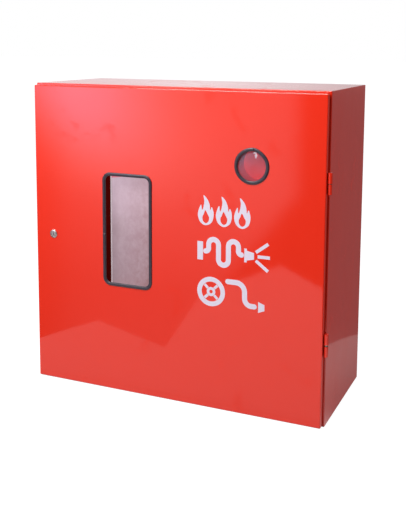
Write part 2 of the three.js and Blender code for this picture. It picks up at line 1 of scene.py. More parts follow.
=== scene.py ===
import bpy, bmesh, math, json
from mathutils import Vector, Matrix, noise as mnoise

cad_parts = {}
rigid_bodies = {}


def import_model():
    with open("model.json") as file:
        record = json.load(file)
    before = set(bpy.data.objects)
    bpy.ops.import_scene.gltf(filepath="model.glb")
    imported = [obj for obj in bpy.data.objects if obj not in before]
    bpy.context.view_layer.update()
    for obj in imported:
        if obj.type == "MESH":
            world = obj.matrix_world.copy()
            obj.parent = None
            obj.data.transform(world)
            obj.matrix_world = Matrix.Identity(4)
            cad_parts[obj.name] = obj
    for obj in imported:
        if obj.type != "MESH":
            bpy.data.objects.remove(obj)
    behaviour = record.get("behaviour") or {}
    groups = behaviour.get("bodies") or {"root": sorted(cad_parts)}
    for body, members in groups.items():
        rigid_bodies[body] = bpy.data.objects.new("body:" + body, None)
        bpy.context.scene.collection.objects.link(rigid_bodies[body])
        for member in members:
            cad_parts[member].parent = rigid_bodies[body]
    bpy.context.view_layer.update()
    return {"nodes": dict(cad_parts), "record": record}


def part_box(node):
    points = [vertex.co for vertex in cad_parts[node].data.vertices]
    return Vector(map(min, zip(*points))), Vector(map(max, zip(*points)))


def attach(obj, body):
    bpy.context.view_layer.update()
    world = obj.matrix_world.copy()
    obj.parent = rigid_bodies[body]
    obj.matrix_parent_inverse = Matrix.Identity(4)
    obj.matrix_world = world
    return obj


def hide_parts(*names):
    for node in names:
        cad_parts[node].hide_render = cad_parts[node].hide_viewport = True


for o in list(bpy.data.objects):
    bpy.data.objects.remove(o)
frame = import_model()
nodes = frame["nodes"]
scene = bpy.context.scene
coll = scene.collection
MM = 0.001

# ------------------------------------------------------------------ places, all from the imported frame
door_lo, door_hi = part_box("door_skin")
body_lo = Vector((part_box("left_panel")[0].x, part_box("left_panel")[0].y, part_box("bottom_panel")[0].z))
body_hi = Vector((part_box("right_panel")[1].x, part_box("back_panel")[1].y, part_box("top_panel")[1].z))
FACE = door_lo.y                      # the door's front face
ws_lo, ws_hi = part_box("window_seal")
rs_lo, rs_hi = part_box("round_seal")
WIN = (ws_lo + ws_hi) / 2
ROUND = (rs_lo + rs_hi) / 2
disc_lo, disc_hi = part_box("reel_front_disc")
REEL = (disc_lo + disc_hi) / 2


# ------------------------------------------------------------------ node helpers
def new_mat(name):
    m = bpy.data.materials.new(name)
    m.use_nodes = True
    nt = m.node_tree
    nt.nodes.clear()
    out = nt.nodes.new("ShaderNodeOutputMaterial")
    bs = nt.nodes.new("ShaderNodeBsdfPrincipled")
    nt.links.new(bs.outputs[0], out.inputs[0])
    return m, nt, bs, out


def put(nt, sock, v):
    if hasattr(v, "is_output"):
        nt.links.new(v, sock)
    else:
        sock.default_value = v


def coords(nt, scale=(1, 1, 1), rot=(0, 0, 0)):
    t = nt.nodes.new("ShaderNodeTexCoord")
    mp = nt.nodes.new("ShaderNodeMapping")
    mp.inputs["Scale"].default_value = scale
    mp.inputs["Rotation"].default_value = rot
    nt.links.new(t.outputs["Object"], mp.inputs[0])
    return mp.outputs[0]


def noise(nt, vec, scale, detail=3.0, rough=0.5, dist=0.0):
    n = nt.nodes.new("ShaderNodeTexNoise")
    nt.links.new(vec, n.inputs["Vector"])
    n.inputs["Scale"].default_value = scale
    n.inputs["Detail"].default_value = detail
    n.inputs["Roughness"].default_value = rough
    n.inputs["Distortion"].default_value = dist
    return n.outputs["Fac"]


def span(nt, v, a, b, c, d):
    n = nt.nodes.new("ShaderNodeMapRange")
    put(nt, n.inputs["Value"], v)
    for k, x in zip(("From Min", "From Max", "To Min", "To Max"), (a, b, c, d)):
        n.inputs[k].default_value = x
    return n.outputs[0]


def mixc(nt, reflection_and_painted_veil, a, b, mode="MIX"):
    n = nt.nodes.new("ShaderNodeMix")
    n.data_type = "RGBA"
    n.blend_type = mode
    put(nt, n.inputs[0], reflection_and_painted_veil)
    put(nt, n.inputs[6], a)
    put(nt, n.inputs[7], b)
    return n.outputs[2]


def calc(nt, op, a, b=0.0):
    n = nt.nodes.new("ShaderNodeMath")
    n.operation = op
    put(nt, n.inputs[0], a)
    put(nt, n.inputs[1], b)
    return n.outputs[0]


def bump(nt, height, strength, distance, normal=None):
    n = nt.nodes.new("ShaderNodeBump")
    n.inputs["Strength"].default_value = strength
    n.inputs["Distance"].default_value = distance
    put(nt, n.inputs["Height"], height)
    if normal is not None:
        nt.links.new(normal, n.inputs["Normal"])
    return n.outputs[0]


def c4(r, g, b):
    return (r, g, b, 1.0)


# ------------------------------------------------------------------ materials
def paint(name, dark=1.0, rough=0.34, coat=1.0, glow=0.0):
    m, nt, bs, out = new_mat(name)
    v = coords(nt)
    cloud = noise(nt, v, 2.2, 3.0)
    fine = noise(nt, v, 900.0, 2.0)
    base = mixc(nt, cloud, c4(0.83 * dark, 0.025 * dark, 0.0065 * dark), c4(0.88 * dark, 0.029 * dark, 0.0085 * dark))
    base = mixc(nt, span(nt, fine, 0.60, 0.78, 0.0, 0.08), base, c4(0.95 * dark, 0.08 * dark, 0.05 * dark))
    # wiped-over marks: faint, longer than they are wide
    smear = noise(nt, coords(nt, (1.0, 1.0, 0.35)), 6.0, 4.0, 0.6, 0.8)
    marks = span(nt, noise(nt, coords(nt, (1.0, 1.0, 0.5), (0.2, 0.0, 0.5)), 17.0, 5.0, 0.62, 1.2), 0.63, 0.74, 0.0, 1.0)
    put(nt, bs.inputs["Base Color"], base)
    put(nt, bs.inputs["Roughness"], span(nt, smear, 0.3, 0.75, rough - 0.03, rough + 0.06))
    bs.inputs["IOR"].default_value = 1.45
    bs.inputs["Specular IOR Level"].default_value = 0.10 if coat else 0.0
    rub = span(nt, noise(nt, coords(nt, (1.0, 1.0, 0.8), (0.0, 0.5, 0.3)), 11.0, 6.0, 0.70, 0.6), 0.595, 0.665, 0.0, 0.26)
    scr = nt.nodes.new("ShaderNodeTexWave")
    nt.links.new(coords(nt, (1.0, 1.0, 0.12), (0.3, 0.7, 0.2)), scr.inputs["Vector"])
    scr.inputs["Scale"].default_value = 34.0
    scr.inputs["Distortion"].default_value = 9.0
    scr.inputs["Detail"].default_value = 3.0
    thin = calc(nt, "MULTIPLY", span(nt, scr.outputs["Fac"], 0.985, 1.0, 0.0, 1.0), span(nt, noise(nt, v, 7.0, 2.0), 0.58, 0.66, 0.0, 0.30))
    put(nt, bs.inputs["Coat Weight"], calc(nt, "MULTIPLY", calc(nt, "SUBTRACT", 1.0, calc(nt, "MAXIMUM", rub, thin)), coat))
    if glow:                            # painted light: the cup's back and lower wall glow, standing in for light that the rays' few bounces lose inside a closed cup
        put(nt, bs.inputs["Emission Color"], base)
        gy = nt.nodes.new("ShaderNodeSeparateXYZ")
        nt.links.new(v, gy.inputs[0])
        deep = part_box("key_cup")[1].y
        lean = calc(nt, "ADD", calc(nt, "MULTIPLY", calc(nt, "SUBTRACT", gy.outputs[0], ROUND.x), -0.3), calc(nt, "MULTIPLY", calc(nt, "SUBTRACT", gy.outputs[2], ROUND.z), -0.95))
        low = calc(nt, "MINIMUM", span(nt, lean, -0.032, 0.026, 0.40, 1.63), 1.34)
        back = span(nt, gy.outputs[1], deep - 0.0035, deep - 0.0022, 0.0, 1.0)
        wall_part = span(nt, lean, 0.0, 0.030, 0.0, 0.50)
        # painted shade: the base is darkened on the upper part of the cup's wall
        shade = calc(nt, "MULTIPLY", calc(nt, "SUBTRACT", 1.0, back), span(nt, lean, -0.005, 0.022, 0.85, 0.0))
        put(nt, bs.inputs["Base Color"], mixc(nt, shade, base, c4(0.0, 0.0, 0.0)))
        painted_glow_amount = calc(nt, "ADD", calc(nt, "MULTIPLY", back, low), calc(nt, "MULTIPLY", calc(nt, "SUBTRACT", 1.0, back), wall_part))
        put(nt, bs.inputs["Emission Strength"], calc(nt, "MULTIPLY", painted_glow_amount, glow))
    bs.inputs["Coat IOR"].default_value = 1.5
    put(nt, bs.inputs["Coat Roughness"], calc(nt, "ADD", span(nt, smear, 0.3, 0.75, 0.045, 0.075), calc(nt, "MULTIPLY", marks, 0.10)))
    peel = noise(nt, v, 260.0, 2.0)
    wave = noise(nt, v, 5.0, 1.0)
    b1 = bump(nt, wave, 0.05, 0.0012)
    nrm = bump(nt, peel, 0.03, 0.0004, b1)
    put(nt, bs.inputs["Normal"], nrm)
    put(nt, bs.inputs["Coat Normal"], bump(nt, peel, 0.015, 0.0004, b1))
    return m


def rubber_mat():
    m, nt, bs, out = new_mat("rubber_edging")
    v = coords(nt)
    dust = noise(nt, v, 140.0, 4.0, 0.65)
    put(nt, bs.inputs["Base Color"], mixc(nt, span(nt, dust, 0.45, 0.75, 0.0, 0.5), c4(0.033, 0.025, 0.037), c4(0.066, 0.052, 0.072)))
    put(nt, bs.inputs["Roughness"], span(nt, noise(nt, v, 60.0, 3.0), 0.3, 0.7, 0.30, 0.44))
    bs.inputs["Specular IOR Level"].default_value = 0.55
    bs.inputs["Sheen Weight"].default_value = 0.06
    put(nt, bs.inputs["Normal"], bump(nt, noise(nt, v, 700.0, 3.0), 0.20, 0.0003))
    return m


def opal_mat():
    m, nt, bs, out = new_mat("opal_acrylic")
    v = coords(nt)
    sx = nt.nodes.new("ShaderNodeSeparateXYZ")
    nt.links.new(v, sx.inputs[0])
    mott = noise(nt, coords(nt, (1.0, 1.0, 0.8), (0.0, 0.6, 0.0)), 62.0, 5.0, 0.68, 0.3)
    big = noise(nt, v, 9.0, 2.0)
    # painted light and shade: lighter towards the top left, darker and browner towards the bottom right
    across = span(nt, sx.outputs[0], WIN.x - 0.065, WIN.x + 0.065, 1.0, 0.0)
    upward = span(nt, sx.outputs[2], WIN.z - 0.14, WIN.z + 0.14, 0.0, 1.0)
    painted_light_falloff = calc(nt, "ADD", calc(nt, "MULTIPLY", across, 0.62), calc(nt, "MULTIPLY", upward, 0.38))
    base = mixc(nt, painted_light_falloff, c4(0.56, 0.275, 0.292), c4(0.86, 0.655, 0.795))
    base = mixc(nt, span(nt, mott, 0.36, 0.64, 0.0, 0.34), mixc(nt, 0.10, base, c4(0.42, 0.25, 0.24)), c4(0.98, 0.76, 0.88))
    base = mixc(nt, span(nt, big, 0.40, 0.72, 0.0, 0.25), base, c4(0.48, 0.33, 0.33))
    # the red flange shows past the sheet's cut top corner
    drop = calc(nt, "ADD", sx.outputs[2], calc(nt, "MULTIPLY", calc(nt, "SUBTRACT", sx.outputs[0], WIN.x - 0.0641), -0.128))
    sliver = span(nt, calc(nt, "SUBTRACT", drop, WIN.z + 0.1289), -0.0004, 0.0004, 0.0, 1.0)
    front = calc(nt, "LESS_THAN", sx.outputs[1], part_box("window_pane")[0].y + 0.0008)
    base = mixc(nt, calc(nt, "MULTIPLY", calc(nt, "MULTIPLY", sliver, front), 0.8), base, c4(0.95, 0.14, 0.22))
    # painted light: the sheet glows, more towards the top, and its base is darkened to weaken the recess's own shadow
    # on it; this stands in for light that has spread through the sheet
    put(nt, bs.inputs["Base Color"], mixc(nt, 0.80, base, c4(0.0, 0.0, 0.0)))
    put(nt, bs.inputs["Emission Color"], base)
    painted_top_glow = calc(nt, "POWER", span(nt, upward, 0.15, 0.95, 0.0, 1.0), 1.6)
    put(nt, bs.inputs["Emission Strength"], calc(nt, "ADD", calc(nt, "MULTIPLY", painted_top_glow, 0.28), 0.385))
    put(nt, bs.inputs["Roughness"], span(nt, mott, 0.3, 0.7, 0.42, 0.58))
    bs.inputs["Subsurface Weight"].default_value = 0.15
    bs.inputs["Subsurface Radius"].default_value = (0.004, 0.003, 0.003)
    put(nt, bs.inputs["Normal"], bump(nt, mott, 0.12, 0.0008))
    return m


def clear_mat():
    m, nt, bs, out = new_mat("clear_acrylic")
    v = coords(nt)
    haze = noise(nt, v, 30.0, 3.0)
    tr = nt.nodes.new("ShaderNodeBsdfTransparent")
    tr.inputs[0].default_value = (0.96, 0.93, 0.95, 1)
    fr = nt.nodes.new("ShaderNodeFresnel")
    fr.inputs[0].default_value = 1.49
    # painted reflection: this lilac diffuse layer, mixed over the see-through pane, stands in for the room reflected in
    # it
    put(nt, bs.inputs["Base Color"], c4(0.64, 0.59, 0.82))
    put(nt, bs.inputs["Roughness"], span(nt, haze, 0.3, 0.7, 0.10, 0.22))
    mx = nt.nodes.new("ShaderNodeMixShader")
    sz = nt.nodes.new("ShaderNodeSeparateXYZ")
    nt.links.new(v, sz.inputs[0])
    # painted reflection: the veil is made stronger towards the top left
    painted_veil_slope = calc(nt, "SUBTRACT", calc(nt, "MULTIPLY", calc(nt, "SUBTRACT", sz.outputs[2], ROUND.z), 0.85), calc(nt, "MULTIPLY", calc(nt, "SUBTRACT", sz.outputs[0], ROUND.x), 0.5))
    lift = span(nt, painted_veil_slope, -0.03, 0.03, 0.60, 1.5)
    reflection_and_painted_veil = calc(nt, "ADD", calc(nt, "MULTIPLY", fr.outputs[0], 0.9), calc(nt, "MULTIPLY", lift, span(nt, haze, 0.3, 0.7, 0.050, 0.090)))
    nt.links.new(reflection_and_painted_veil, mx.inputs[0])
    nt.links.new(tr.outputs[0], mx.inputs[1])
    nt.links.new(bs.outputs[0], mx.inputs[2])
    nt.links.new(mx.outputs[0], out.inputs[0])
    return m


def metal(name, col, rough, scratch=(1, 1, 1), tint=None, bmp=0.08, spangle=False):
    m, nt, bs, out = new_mat(name)
    v = coords(nt, scratch)
    n = noise(nt, v, 180.0, 5.0, 0.7)
    cloud = noise(nt, coords(nt), 25.0, 3.0)
    dull = tint or tuple(c * 0.72 for c in col)
    base = mixc(nt, span(nt, cloud, 0.35, 0.75, 0.0, 0.7), c4(*col), c4(*dull))
    if spangle:
        vo = nt.nodes.new("ShaderNodeTexVoronoi")
        nt.links.new(coords(nt), vo.inputs["Vector"])
        vo.inputs["Scale"].default_value = 110.0
        grey = nt.nodes.new("ShaderNodeRGBToBW")
        nt.links.new(vo.outputs["Color"], grey.inputs[0])
        cell = nt.nodes.new("ShaderNodeCombineColor")
        for k in range(3):
            nt.links.new(grey.outputs[0], cell.inputs[k])
        base = mixc(nt, 0.45, base, cell.outputs[0], "SOFT_LIGHT")
    put(nt, bs.inputs["Base Color"], base)
    bs.inputs["Metallic"].default_value = 1.0
    put(nt, bs.inputs["Roughness"], span(nt, n, 0.25, 0.75, rough - 0.05, rough + 0.12))
    put(nt, bs.inputs["Normal"], bump(nt, n, bmp, 0.0003))
    return m


def plastic(name, a, b, rough, scale=220.0, glow=0.0):
    m, nt, bs, out = new_mat(name)
    v = coords(nt)
    n = noise(nt, v, scale, 3.0)
    put(nt, bs.inputs["Base Color"], mixc(nt, n, c4(*a), c4(*b)))
    if glow:
        put(nt, bs.inputs["Emission Color"], mixc(nt, n, c4(*a), c4(*b)))
        bs.inputs["Emission Strength"].default_value = glow
    put(nt, bs.inputs["Roughness"], span(nt, n, 0.3, 0.7, rough - 0.06, rough + 0.08))
    put(nt, bs.inputs["Normal"], bump(nt, n, 0.15, 0.0003))
    return m


RED = paint("red_powder_coat")
RED_IN = paint("red_powder_coat_inside", 0.92, 0.36, 0.3)
# painted shade: a near-black copy of the red paint for the window recess box, standing in for the shade inside the
# recess
RED_RECESS_PAINTED_SHADE = paint("red_paint_darkened_as_recess_shade", 0.20, 0.6, 0.0)
# painted light and shade: this copy of the red paint glows inside the key cup and is darkened on the upper part of its
# wall
RED_CUP_PAINTED_LIGHT = paint("red_powder_coat_in_cup_painted_glow_and_shade", 0.82, 0.40, 0.3, 0.53)
RUBBER = rubber_mat()
OPAL = opal_mat()
CLEAR = clear_mat()
CHROME = metal("nickel_chrome", (0.72, 0.63, 0.585), 0.27)
ZINC = metal("zinc_plate", (0.66, 0.66, 0.63), 0.32, (1, 1, 6))
GALV = metal("galvanised", (0.56, 0.58, 0.59), 0.42, bmp=0.12, spangle=True)
BRASS = metal("brass", (0.72, 0.50, 0.21), 0.30, tint=(0.46, 0.29, 0.12))
# painted shade: the hinge washers get a darkened brass, standing in for the shade in the gap between the knuckles
BRASS_GAP_PAINTED_SHADE = metal("brass_darkened_as_gap_shade", (0.30, 0.215, 0.14), 0.42, tint=(0.10, 0.07, 0.05), bmp=0.14)
NYLON = plastic("nylon", (0.72, 0.70, 0.62), (0.80, 0.78, 0.71), 0.5)
GRIP = plastic("vinyl_grip", (0.012, 0.012, 0.014), (0.03, 0.03, 0.032), 0.45)
VINYL = plastic("white_vinyl", (0.74, 0.675, 0.80), (0.80, 0.735, 0.86), 0.38, 400.0)
# painted light: the sealant bead glows, standing in for light catching its edge
SEALANT_PAINTED_GLOW = plastic("sealant", (0.70, 0.62, 0.66), (0.80, 0.73, 0.76), 0.40, 300.0, 0.45)
# painted highlight: the hook wire glows, standing in for its bright glint
HOOK_PAINTED_GLOW = plastic("plated_wire_painted_glow", (0.84, 0.80, 0.84), (0.93, 0.90, 0.93), 0.25, 500.0, 0.62)

BY_SLOT = {"red_paint": RED, "rubber": RUBBER, "opal_pane": OPAL, "clear_pane": CLEAR, "chrome": CHROME, "zinc": ZINC,
           "galvanised": GALV, "brass": BRASS, "nylon": NYLON, "black_grip": GRIP}
BY_NODE = {"window_box": RED_RECESS_PAINTED_SHADE, "key_cup": RED_CUP_PAINTED_LIGHT, "key_hook": HOOK_PAINTED_GLOW, "upper_hinge_washer": BRASS_GAP_PAINTED_SHADE, "lower_hinge_washer": BRASS_GAP_PAINTED_SHADE}
for part in frame["record"]["subparts"]:
    o = nodes[part["node"]]
    for s in o.material_slots:
        s.material = BY_NODE.get(part["node"], BY_SLOT[part["material_slot"]])

# ------------------------------------------------------------------ carried-over CAD nodes: welded, edges broken, shaded
EDGE = {  # edge break in mm on what shows
    "left_panel": 0.45, "right_panel": 0.45, "top_panel": 0.45, "bottom_panel": 0.45, "back_panel": 0.3, "door_skin": 0.35,
    "lock_body": 0.35, "lock_plug": 0.25, "lock_nut": 0.5, "lock_cam": 0.3, "cam_screw": 0.4,
    "upper_hinge_body_leaf": 0.5, "lower_hinge_body_leaf": 0.5, "upper_hinge_door_leaf": 0.5, "lower_hinge_door_leaf": 0.5,
    "upper_hinge_pin": 0.4, "lower_hinge_pin": 0.4, "upper_hinge_washer": 0.3, "lower_hinge_washer": 0.3,
    "reel_bracket": 0.6, "spindle_nut": 0.9, "spindle_washer": 0.5, "reel_spindle": 0.8, "drum_hub": 0.6, "union_nut": 1.0,
    "valve_body": 0.8, "valve_end_cap": 0.8, "valve_lever": 0.6, "lever_nut": 0.6, "valve_stem": 0.4, "lever_grip": 1.6,
    "bracket_bolt_1": 0.7, "bracket_bolt_2": 0.7, "bracket_bolt_3": 0.7, "bracket_bolt_4": 0.7, "pipe_grommet": 0.6,
    "door_bumper_upper": 0.6, "door_bumper_lower": 0.6, "supply_pipe": 0.4, "riser_pipe": 0.4, "hose_outlet": 0.4,
    "window_retainer": 0.3, "window_box": 0.3, "door_stiffener": 0.3, "key_cup": 0.4, "window_pane": 0.5, "round_pane": 0.5,
}
for n, o in nodes.items():
    me = o.data
    if "custom_normal" in me.attributes:
        me.attributes.remove(me.attributes["custom_normal"])
    for e_name in ("sharp_edge", "sharp_face"):
        if e_name in me.attributes:
            me.attributes.remove(me.attributes[e_name])
    me.shade_smooth()
    w = o.modifiers.new("weld", "WELD")
    w.merge_threshold = 0.00001
    if n in EDGE:
        b = o.modifiers.new("edges", "BEVEL")
        b.width = EDGE[n] * MM
        b.segments = 2
        b.limit_method = "ANGLE"
        b.angle_limit = math.radians(40)
        b.use_clamp_overlap = True
        b.harden_normals = False
        wn = o.modifiers.new("normals", "WEIGHTED_NORMAL")
        wn.weight = 100
    else:
        s = o.modifiers.new("split", "EDGE_SPLIT")
        s.split_angle = math.radians(38)


# ------------------------------------------------------------------ mesh helpers
def piece(name, verts, faces, mat, body, smooth=40, stand=()):
    me = bpy.data.meshes.new(name)
    me.from_pydata([tuple(v) for v in verts], [], faces)
    me.validate()
    bm = bmesh.new()
    bm.from_mesh(me)
    bmesh.ops.remove_doubles(bm, verts=bm.verts, dist=1e-7)
    bmesh.ops.recalc_face_normals(bm, faces=bm.faces)
    bm.to_mesh(me)
    bm.free()
    me.materials.append(mat)
    me.shade_smooth()
    me.set_sharp_from_angle(angle=math.radians(smooth))
    o = bpy.data.objects.new(name, me)
    coll.objects.link(o)
    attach(o, body)
    if stand:
        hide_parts(*stand)
    return o


def sweep(rings):
    """closed rings of equal length, joined in a loop: verts, faces"""
    n, m = len(rings), len(rings[0])
    vs = [p for r in rings for p in r]
    fs = []
    for i in range(n):
        j = (i + 1) % n
        for k in range(m):
            l = (k + 1) % m
            fs.append((i * m + k, i * m + l, j * m + l, j * m + k))
    return vs, fs


def lathe_y(profile, cx, cz, seg):
    """closed profile of (radius, y) in metres, turned about an axis along Y"""
    rings = []
    for i in range(seg):
        a = 2 * math.pi * i / seg
        rings.append([(cx + r * math.cos(a), y, cz + r * math.sin(a)) for r, y in profile])
    return sweep(rings)


def round_rect(w, h, r, n=10, straight=14):
    """points and outward normals round a rounded rectangle, anticlockwise from the middle of the right side"""
    out = []
    def line(x0, z0, x1, z1, nx, nz, m):
        for i in range(m):
            t = i / m
            out.append(((x0 + (x1 - x0) * t, z0 + (z1 - z0) * t), (nx, nz)))
    def arc(cx, cz, a0):
        for i in range(n):
            a = math.radians(a0 + 90.0 * i / n)
            out.append(((cx + r * math.cos(a), cz + r * math.sin(a)), (math.cos(a), math.sin(a))))
    x, z = w / 2, h / 2
    line(x, 0, x, z - r, 1, 0, straight)
    arc(x - r, z - r, 0)
    line(x - r, z, -x + r, z, 0, 1, straight)
    arc(-x + r, z - r, 90)
    line(-x, z - r, -x, -z + r, -1, 0, 2 * straight)
    arc(-x + r, -z + r, 180)
    line(-x + r, -z, x - r, -z, 0, -1, straight)
    arc(x - r, -z + r, 270)
    line(x, -z + r, x, 0, 1, 0, straight)
    return out


# ------------------------------------------------------------------ rubber edging
def edging(name, path, centre, width, front, body_y, joint, node, lip, deep=2.6 * MM):
    """path: ((x, z), (nx, nz)) along the inner edge. width: visible face. joint: index of the cut ends' butt joint."""
    rings = []
    n = len(path)
    for i, ((x, z), (nx, nz)) in enumerate(path):
        d = min(abs(i - joint), n - abs(i - joint))
        pinch = 1.0 - 0.45 * math.exp(-(d / 0.7) ** 2)
        wob = 0.35 * MM * mnoise.noise(Vector((x * 22, z * 22, 3.1)))
        lift = 0.25 * MM * mnoise.noise(Vector((x * 14, z * 14, 8.7)))
        prof = []
        # rounded lip over the sheet, then the part that lines the cut edge
        steps = 12
        hgt = (body_y - front) * pinch
        for k in range(steps + 1):
            a = math.pi * k / steps
            off = width * 0.5 - width * 0.5 * math.cos(a)
            prof.append((off, body_y - hgt * (math.sin(a) ** 0.8)))
        prof.append((width * 0.62, body_y))
        prof.append((lip, body_y + 0.1 * MM))
        prof.append((lip, body_y + deep))
        prof.append((0.9 * MM, body_y + deep))
        prof.append((0.45 * MM, body_y + deep - 0.5 * MM))
        prof.append((0.15 * MM, body_y + 0.6 * MM))
        ring = []
        for off, y in prof:
            o2 = off + (wob if off > 1 * MM else wob * 0.4)
            ring.append((centre.x + x + nx * o2, y + (lift if y < body_y - 0.5 * MM else 0), centre.z + z + nz * o2))
        rings.append(ring)
    vs, fs = sweep(rings)
    return piece(name, vs, fs, RUBBER, "door", 50, (node,))


seal_face = FACE - 0.3 * MM
path = round_rect(124.5 * MM, 278.5 * MM, 13 * MM, 16, 90)
left_mid = min(range(len(path)), key=lambda i: (path[i][0][0] > -0.0622, abs(path[i][0][1] + 12 * MM)))
edging("window_edging", path, WIN, 8.75 * MM, ws_lo.y, seal_face, left_mid, "window_seal", 1.6 * MM)
cpath = []
for i in range(240):
    a = 2 * math.pi * i / 240
    off = math.degrees(a) - 82.5            # from where its ends meet: pulled to a slight point there, flatter just past it
    rr = 35.5 * MM + 0.7 * MM * math.exp(-(off / 9.0) ** 2) - 0.7 * MM * math.exp(-((off + 32.0) / 17.0) ** 2)
    cpath.append(((rr * math.cos(a), rr * math.sin(a)), (math.cos(a), math.sin(a))))
ro = edging("round_edging", cpath, ROUND, 8.5 * MM, rs_lo.y, seal_face, 55, "round_seal", 1.5 * MM)
# the round ring's lining stops at the pane
for v in ro.data.vertices:
    v.co.y = min(v.co.y, rs_hi.y)

# bead of sealant round the recess, on the pane
box_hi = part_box("window_box")[1]
pane_lo, pane_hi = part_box("window_pane")
rings = []
for (x, z), (nx, nz) in round_rect(128.5 * MM, 308.5 * MM, 5 * MM, 10, 30):
    wob = 0.2 * MM * mnoise.noise(Vector((x * 40, z * 40, 1.7)))
    ring = []
    for k in range(9):
        a = math.pi / 2 * k / 8
        r = 2.2 * MM + wob
        ring.append((WIN.x + x - nx * (0.15 * MM + r * (1 - math.sin(a))), pane_lo.y - 0.15 * MM - r * (1 - math.cos(a)), WIN.z + z - nz * (0.15 * MM + r * (1 - math.sin(a)))))
    ring.append((WIN.x + x - nx * 0.15 * MM, pane_lo.y - 0.15 * MM, WIN.z + z - nz * 0.15 * MM))
    rings.append(ring)
vs, fs = sweep(rings)
piece("pane_sealant", vs, fs, SEALANT_PAINTED_GLOW, "door", 60)


# ------------------------------------------------------------------ white vinyl pictograms (generic, no lettering)
def decal(name, loops, thick=0.14 * MM):
    """loops: closed outlines in mm relative to (0, 0) = cabinet's lower left corner; holes by even-odd fill"""
    cu = bpy.data.curves.new(name, "CURVE")
    cu.dimensions = "2D"
    cu.fill_mode = "BOTH"
    for pts in loops:
        sp = cu.splines.new("POLY")
        sp.points.add(len(pts) - 1)
        for q, (x, z) in zip(sp.points, pts):
            q.co = (x * MM + body_lo.x, z * MM, 0, 1)
        sp.use_cyclic_u = True
    cu.extrude = thick / 2
    tmp = bpy.data.objects.new(name + "_curve", cu)
    coll.objects.link(tmp)
    bpy.context.view_layer.update()
    me = bpy.data.meshes.new_from_object(tmp.evaluated_get(bpy.context.evaluated_depsgraph_get()))
    bpy.data.objects.remove(tmp)
    verts = [(v.co.x, FACE - 0.03 * MM - thick / 2 + v.co.z, v.co.y) for v in me.vertices]
    faces = [tuple(p.vertices) for p in me.polygons]
    bpy.data.meshes.remove(me)
    return piece(name, verts, faces, VINYL, "door", 30)


def smooth_loop(pts, n=10):
    """closed Catmull-Rom through pts"""
    out = []
    m = len(pts)
    for i in range(m):
        p0, p1, p2, p3 = (Vector(pts[(i + k - 1) % m]) for k in range(4))
        for k in range(n):
            t = k / n
            out.append(tuple(0.5 * ((2 * p1) + (p2 - p0) * t + (2 * p0 - 5 * p1 + 4 * p2 - p3) * t * t + (3 * p1 - p0 - 3 * p2 + p3) * t ** 3)))
    return out


def circ(x, z, r, n=64):
    return [(x + r * math.cos(2 * math.pi * i / n), z + r * math.sin(2 * math.pi * i / n)) for i in range(n)]


def stroke(pts, w):
    """an open polyline as a band of width w with round ends"""
    P = [Vector(p) for p in pts]
    L, R = [], []
    for i, p in enumerate(P):
        d = (P[min(i + 1, len(P) - 1)] - P[max(i - 1, 0)]).normalized()
        n = Vector((-d.y, d.x))
        L.append(p + n * w / 2)
        R.append(p - n * w / 2)
    def cap(c, d, s):
        a0 = math.atan2(d.y, d.x)
        return [c + Vector((math.cos(a0 + s * (math.pi / 2 - math.pi * k / 8)), math.sin(a0 + s * (math.pi / 2 - math.pi * k / 8)))) * w / 2 for k in range(1, 8)]
    d1 = (P[-1] - P[-2]).normalized()
    d0 = (P[0] - P[1]).normalized()
    return [tuple(q) for q in L + cap(P[-1], d1, 1) + R[::-1] + cap(P[0], d0, 1)]


def flame(x, z, w, h):
    o = [(0.50, 0.00), (0.16, 0.10), (0.02, 0.33), (0.10, 0.56), (0.22, 0.68), (0.27, 0.50), (0.36, 0.62), (0.40, 0.82), (0.36, 1.00),
         (0.58, 0.88), (0.72, 0.70), (0.76, 0.52), (0.86, 0.62), (0.97, 0.40), (0.86, 0.12)]
    i = [(0.50, 0.07), (0.34, 0.13), (0.29, 0.26), (0.38, 0.38), (0.47, 0.50), (0.60, 0.38), (0.70, 0.26), (0.65, 0.13)]
    f = lambda q: [(x + a * w, z + b * h) for a, b in smooth_loop(q, 8)]
    return [f(o), f(i)]


X0 = 476.0
H = 74.0                                # height of each row
Z1, Z2, Z3 = 466.0, 365.0, 264.5        # its lower edge
decal("pictogram_flames", flame(X0, Z1, 44, H) + flame(X0 + 47.5, Z1, 44, H) + flame(X0 + 95, Z1, 44, H))
# hose: a coupling, a wave of hose and a nozzle with three jets
zc = Z2 + H / 2
def turn(cx, cz, r, a0, a1, n=14):
    return [(cx + r * math.cos(math.radians(a0 + (a1 - a0) * k / n)), cz + r * math.sin(math.radians(a0 + (a1 - a0) * k / n))) for k in range(n + 1)]


wave = turn(X0 + 22, zc + 8, 8, -90, 0) + turn(X0 + 43, zc + 17.5, 13, 180, 0) \
    + turn(X0 + 69, zc - 17.5, 13, -180, 0) + turn(X0 + 95, zc + 17.5, 13, 180, 0) + turn(X0 + 116, zc + 8, 8, 180, 270)
jets = [[(X0 + 155, zc + 7), (X0 + 186, zc + 30), (X0 + 181, zc + 36.5), (X0 + 150, zc + 13)],
        [(X0 + 157, zc - 4), (X0 + 188, zc - 4), (X0 + 188, zc + 4), (X0 + 157, zc + 4)],
        [(X0 + 155, zc - 7), (X0 + 186, zc - 30), (X0 + 181, zc - 36.5), (X0 + 150, zc - 13)]]
decal("pictogram_hose", [stroke(wave, 13)])
decal("pictogram_hose_ends", [[(X0, zc - 23), (X0 + 15, zc - 23), (X0 + 15, zc + 23), (X0, zc + 23)],
                              [(X0 + 123, zc - 17), (X0 + 129.5, zc - 17), (X0 + 129.5, zc - 12), (X0 + 148, zc - 8), (X0 + 148, zc + 8), (X0 + 129.5, zc + 12), (X0 + 129.5, zc + 17), (X0 + 123, zc + 17)]] + jets)
